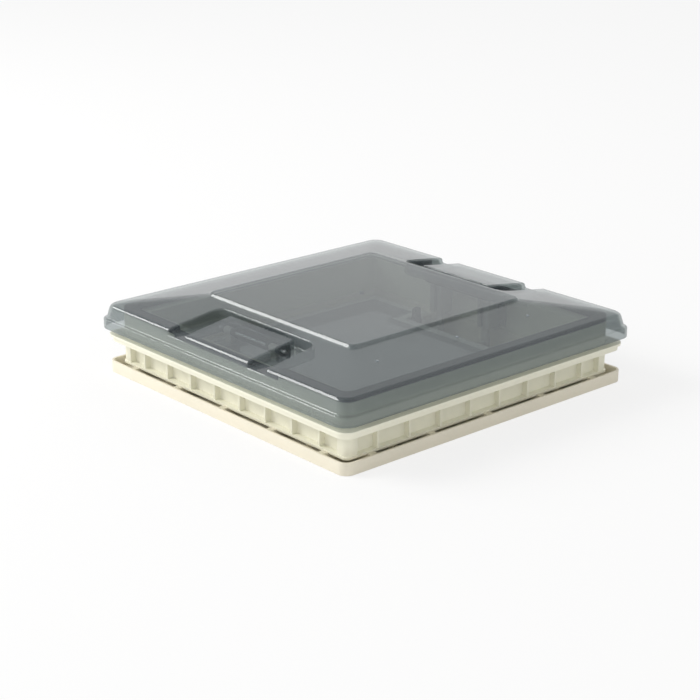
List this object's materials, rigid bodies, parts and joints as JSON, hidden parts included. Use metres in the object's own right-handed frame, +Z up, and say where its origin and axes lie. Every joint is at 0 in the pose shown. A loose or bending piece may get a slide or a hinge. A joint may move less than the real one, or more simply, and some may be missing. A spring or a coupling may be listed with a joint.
{
  "type": "roof vent cover",
  "caption": "Square push-up roof vent: smoked clear dome on lift handles over a ribbed base frame, with a slotted inner trim frame and a fly screen.",
  "frame": {"origin": "centre of the trim frame's flat underside, which is the lowest point of the vent", "axes": "+Z up through the roof to the dome, -Y towards the front handle, +X to the right seen from the front"},
  "size_m": [0.4848, 0.4848, 0.1089],
  "materials": {
    "frame_ivory": "satin moulded ABS",
    "trim_cream": "satin moulded ABS",
    "dome_acrylic": "clear smoked acrylic, glossy",
    "seal_rubber": "matt cellular rubber",
    "steel_screws": "zinc plated",
    "steel_pins": "bright drawn",
    "spring_steel": "spring strip",
    "guide_plastic": "satin acetal",
    "handle_plastic": "satin moulded nylon",
    "dark_plastic": "fine-grained moulded nylon",
    "screen_white": "satin moulded ABS",
    "screen_mesh": "coated glass-fibre gauze"
  },
  "bodies": {
    "frame": {"base_frame": "frame_ivory", "inner_frame": "trim_cream", "rim_seal": "seal_rubber", "frame_screws": "steel_screws", "screw_caps": "trim_cream", "front_guides": "guide_plastic", "rear_guides": "guide_plastic", "detent_springs": "spring_steel", "guide_screws": "steel_screws", "latch_pins": "steel_pins", "screen_frame": "screen_white", "screen_mesh": "screen_mesh"},
    "dome": {"dome": "dome_acrylic", "front_hinge_block": "dark_plastic", "rear_hinge_block": "dark_plastic", "front_hinge_pin": "steel_pins", "rear_hinge_pin": "steel_pins", "pin_clips": "steel_pins"},
    "front_handle": {"front_handle": "handle_plastic"},
    "rear_handle": {"rear_handle": "handle_plastic"},
    "front_latch": {"front_latch": "dark_plastic"},
    "rear_latch": {"rear_latch": "dark_plastic"},
    "left_screen_slide": {"left_screen_slide": "dark_plastic"},
    "right_screen_slide": {"right_screen_slide": "dark_plastic"}
  },
  "joints": [
    {"name": "rear_lift", "type": "slide", "parent": "frame", "child": "rear_handle", "axis": [0, 0, 1], "range_m": [0, 0.06]},
    {"name": "dome_tilt", "type": "hinge", "parent": "rear_handle", "child": "dome", "pos_m": [0, 0.18, 0.09], "axis": [-1, 0, 0], "range_deg": [0, 7], "deforming": ["rim_seal"]},
    {"name": "front_fold", "type": "hinge", "parent": "dome", "child": "front_handle", "pos_m": [0, -0.18, 0.09], "axis": [-1, 0, 0], "range_deg": [-7, 0]},
    {"name": "front_latch_turn", "type": "hinge", "parent": "frame", "child": "front_latch", "pos_m": [0.07, -0.16, 0.022], "axis": [0, -1, 0], "range_deg": [0, 90]},
    {"name": "rear_latch_turn", "type": "hinge", "parent": "frame", "child": "rear_latch", "pos_m": [-0.07, 0.16, 0.022], "axis": [0, 1, 0], "range_deg": [0, 90]},
    {"name": "left_slide_bolt", "type": "slide", "parent": "frame", "child": "left_screen_slide", "axis": [1, 0, 0], "range_m": [0, 0.004]},
    {"name": "right_slide_bolt", "type": "slide", "parent": "frame", "child": "right_screen_slide", "axis": [-1, 0, 0], "range_m": [0, 0.004]}
  ],
  "couplings": [
    {"joint": "front_fold", "follows": "dome_tilt", "ratio": -1}
  ]
}
